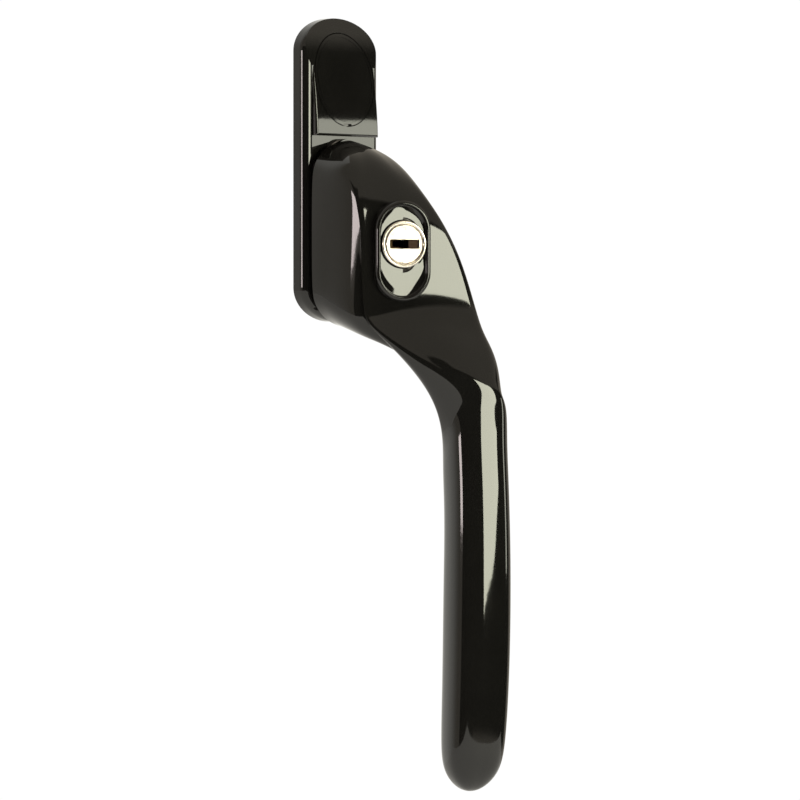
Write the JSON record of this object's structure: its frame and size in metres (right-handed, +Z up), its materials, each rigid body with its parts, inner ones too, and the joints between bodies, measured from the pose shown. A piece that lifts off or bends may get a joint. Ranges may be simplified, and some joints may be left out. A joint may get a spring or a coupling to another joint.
{
  "type": "window handle",
  "caption": "Black cranked window handle: slim base with a raised block and screw cover, swan-neck lever, keyed push-button lock in an oval surround.",
  "frame": {"origin": "on the spindle axis at the base's back face, midway between the fixing screws", "axes": "+Y into the window frame (the mounting direction), -Y out to the room, +Z up along the base; the lever hangs down at rest"},
  "size_m": [0.0335, 0.0427, 0.1835],
  "materials": {
    "black_paint": "high gloss enamel on cast zinc",
    "black_plastic": "gloss moulded plastic",
    "nickel": "polished nickel plate",
    "shutter_metal": "dull",
    "steel": "zinc plated",
    "spring_steel": "bright drawn",
    "brass": "stamped",
    "nylon": "moulded"
  },
  "bodies": {
    "base": {"base_plate": "black_paint", "screw_cover_plug": "black_plastic", "hub_bush": "nylon", "detent_plate": "steel", "plate_rivets": "steel", "keeper_bush": "steel", "wave_washer": "spring_steel"},
    "lever": {"lever": "black_paint", "spindle_clip": "spring_steel", "retaining_disc": "steel", "circlip": "spring_steel", "detent_ball": "steel", "detent_spring": "spring_steel", "lock_bezel": "black_paint", "return_spring": "spring_steel"},
    "lock_button": {"lock_barrel": "nickel", "locking_pin": "steel"},
    "key_plug": {"key_plug": "nickel", "plug_clip": "spring_steel", "wafers": "brass", "wafer_springs": "spring_steel", "slot_shutter": "shutter_metal"}
  },
  "joints": [
    {"name": "lever_turn", "type": "hinge", "parent": "base", "child": "lever", "pos_m": [0, 0, 0], "axis": [0, 1, 0], "range_deg": [-90, 90]},
    {"name": "lock_push", "type": "slide", "parent": "lever", "child": "lock_button", "axis": [0.5, 0.866, 0], "range_m": [0, 0.0032], "stiffness_N_per_m": 600, "springref_m": -0.001, "deforming": ["return_spring"]},
    {"name": "key_turn", "type": "hinge", "parent": "lock_button", "child": "key_plug", "pos_m": [-0.0036, -0.0243, -0.0179], "axis": [-0.5, -0.866, 0], "range_deg": [0, 90]}
  ]
}
